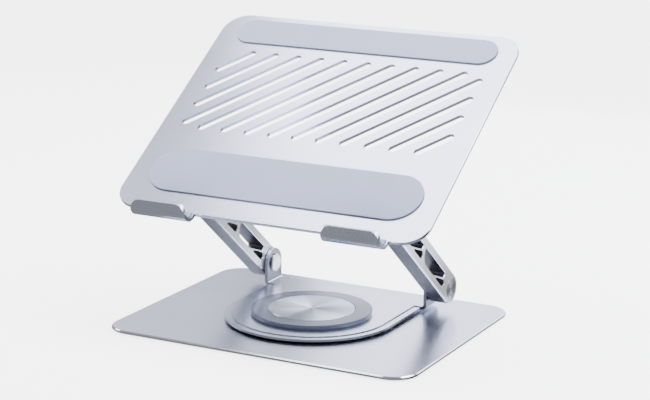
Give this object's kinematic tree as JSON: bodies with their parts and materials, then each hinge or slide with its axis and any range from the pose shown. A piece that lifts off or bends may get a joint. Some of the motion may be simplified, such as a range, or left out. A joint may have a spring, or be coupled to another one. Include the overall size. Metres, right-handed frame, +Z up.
{
  "type": "laptop stand",
  "caption": "Folding aluminium laptop stand: slotted tray with front hooks on two hinged arms that rise from a turntable on a flat base.",
  "frame": {"origin": "on the desk, under the middle of the base plate, at the underside of the centre pad", "axes": "+X to the right of the person at the desk and along the long side of the base, +Y away from the person, +Z up"},
  "size_m": [0.275, 0.2158, 0.2325],
  "materials": {
    "anodised_plate": "bead-blasted, clear anodised, satin",
    "anodised_arm": "bead-blasted, clear anodised, bright cut edges",
    "spun_aluminium": "spun, radial sheen",
    "polished_pin": "polished steel",
    "grey_silicone": "matte moulded silicone, blue-grey",
    "bearing_steel": "ground bearing steel",
    "zinc_steel": "zinc plated fasteners",
    "brass_cage": "pressed brass",
    "washer_polymer": "moulded acetal",
    "turned_aluminium": "turned, uncoated"
  },
  "bodies": {
    "base": {"base_plate": "anodised_plate", "base_feet": "grey_silicone", "base_centre_pad": "grey_silicone", "bearing_lower_race": "bearing_steel", "pivot_bolt": "zinc_steel", "pivot_spring_washer": "zinc_steel", "pivot_nut": "zinc_steel"},
    "cage": {"ball_cage": "brass_cage", "bearing_balls": "bearing_steel"},
    "turntable": {"turntable_platform": "anodised_plate", "bearing_upper_race": "bearing_steel", "bearing_housing": "turned_aluminium", "housing_screws": "zinc_steel", "pivot_bush": "washer_polymer", "turntable_ring": "grey_silicone", "turntable_disc": "spun_aluminium", "lower_pin_left": "polished_pin", "lower_pin_right": "polished_pin", "lower_friction_washers": "washer_polymer", "lower_spring_washers": "zinc_steel", "lower_lock_nuts": "zinc_steel"},
    "arms": {"left_arm": "anodised_arm", "right_arm": "anodised_arm", "lower_cap_left": "spun_aluminium", "lower_cap_right": "spun_aluminium", "upper_cap_left": "spun_aluminium", "upper_cap_right": "spun_aluminium"},
    "pins": {"upper_pin_left": "polished_pin", "upper_pin_right": "polished_pin", "upper_friction_washers": "washer_polymer", "upper_spring_washers": "zinc_steel", "upper_lock_nuts": "zinc_steel"},
    "tray": {"tray_plate": "anodised_plate", "tray_lower_pad": "grey_silicone", "tray_upper_pad": "grey_silicone", "hook_pad_left": "grey_silicone", "hook_pad_right": "grey_silicone", "hinge_bracket_left": "anodised_plate", "hinge_bracket_right": "anodised_plate", "bracket_screws": "zinc_steel"}
  },
  "joints": [
    {"name": "turntable_spin", "type": "hinge", "parent": "base", "child": "turntable", "pos_m": [0, 0, 0.007], "axis": [0, 0, 1], "continuous": true},
    {"name": "cage_spin", "type": "hinge", "parent": "base", "child": "cage", "pos_m": [0, 0, 0.007], "axis": [0, 0, 1], "continuous": true},
    {"name": "arm_fold", "type": "hinge", "parent": "turntable", "child": "arms", "pos_m": [0, 0.0718, 0.0238], "axis": [-1, 0, 0], "range_deg": [-38.1, 36.9]},
    {"name": "upper_pin_turn", "type": "hinge", "parent": "arms", "child": "pins", "pos_m": [0, -0.04073, 0.11204], "axis": [1, 0, 0], "range_deg": [-38.1, 36.9]},
    {"name": "tray_tilt", "type": "hinge", "parent": "pins", "child": "tray", "pos_m": [0, -0.04073, 0.11204], "axis": [1, 0, 0], "range_deg": [-33.3, 4.7]}
  ],
  "couplings": [
    {"joint": "cage_spin", "follows": "turntable_spin", "ratio": 0.5},
    {"joint": "upper_pin_turn", "follows": "arm_fold", "ratio": 1}
  ]
}
